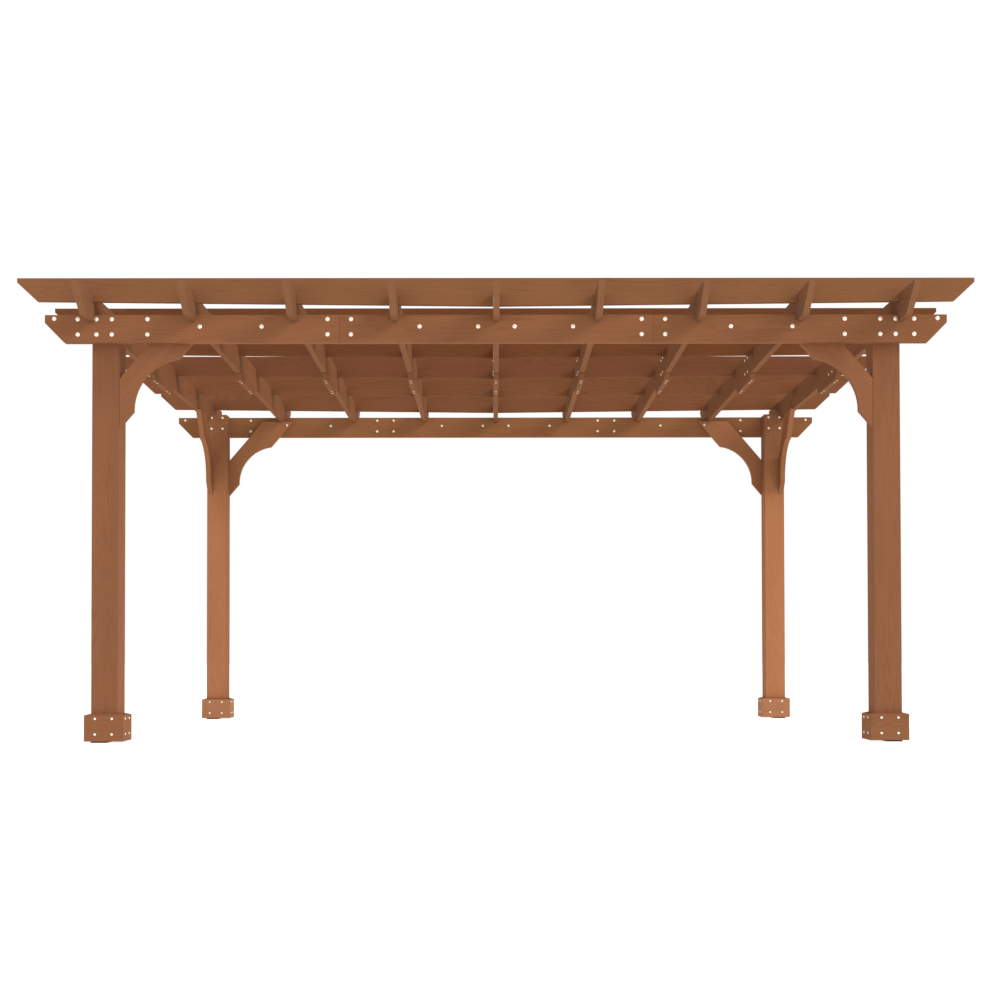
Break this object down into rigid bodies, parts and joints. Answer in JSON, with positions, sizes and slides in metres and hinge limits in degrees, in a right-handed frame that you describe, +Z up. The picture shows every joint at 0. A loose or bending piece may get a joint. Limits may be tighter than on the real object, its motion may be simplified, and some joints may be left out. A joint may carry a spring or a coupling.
{
  "type": "wooden pergola",
  "caption": "Open-roofed wooden pergola on skirted posts: bolted beams, notched rafters, tapered purlins and arched corner braces.",
  "frame": {"origin": "centre of the footprint on the floor", "axes": "+X along the long side, to the right seen from the front; the front is at -Y; +Z up"},
  "size_m": [4.877, 4.06, 2.3655],
  "materials": {
    "cedar_post": "stained cedar, satin",
    "cedar_skirt": "stained cedar, satin",
    "cedar_brace": "stained cedar, satin",
    "cedar_beam": "stained cedar, satin",
    "cedar_rafter": "stained cedar, satin",
    "cedar_purlin": "stained cedar, satin",
    "bolt_zinc": "bright zinc plated, satin",
    "pad_rubber": "black pad, matte"
  },
  "bodies": {
    "root": {"post_front_left": "cedar_post", "skirt_front_left": "cedar_skirt", "pad_front_left": "pad_rubber", "brace_long_front_left": "cedar_brace", "brace_cross_front_left": "cedar_brace", "post_front_right": "cedar_post", "skirt_front_right": "cedar_skirt", "pad_front_right": "pad_rubber", "brace_long_front_right": "cedar_brace", "brace_cross_front_right": "cedar_brace", "post_rear_left": "cedar_post", "skirt_rear_left": "cedar_skirt", "pad_rear_left": "pad_rubber", "brace_long_rear_left": "cedar_brace", "brace_cross_rear_left": "cedar_brace", "post_rear_right": "cedar_post", "skirt_rear_right": "cedar_skirt", "pad_rear_right": "pad_rubber", "brace_long_rear_right": "cedar_brace", "brace_cross_rear_right": "cedar_brace", "beam_front_outer_left": "cedar_beam", "beam_front_outer_centre": "cedar_beam", "beam_front_outer_right": "cedar_beam", "beam_front_inner_left": "cedar_beam", "beam_front_inner_right": "cedar_beam", "beam_rear_outer_left": "cedar_beam", "beam_rear_outer_centre": "cedar_beam", "beam_rear_outer_right": "cedar_beam", "beam_rear_inner_left": "cedar_beam", "beam_rear_inner_right": "cedar_beam", "rafter_1": "cedar_rafter", "rafter_2": "cedar_rafter", "rafter_3": "cedar_rafter", "rafter_4": "cedar_rafter", "rafter_5": "cedar_rafter", "rafter_6": "cedar_rafter", "rafter_7": "cedar_rafter", "rafter_8": "cedar_rafter", "rafter_9": "cedar_rafter", "rafter_splices": "cedar_rafter", "purlin_1": "cedar_purlin", "purlin_2": "cedar_purlin", "purlin_3": "cedar_purlin", "purlin_4": "cedar_purlin", "purlin_5": "cedar_purlin", "purlin_6": "cedar_purlin"}
  },
  "joints": []
}
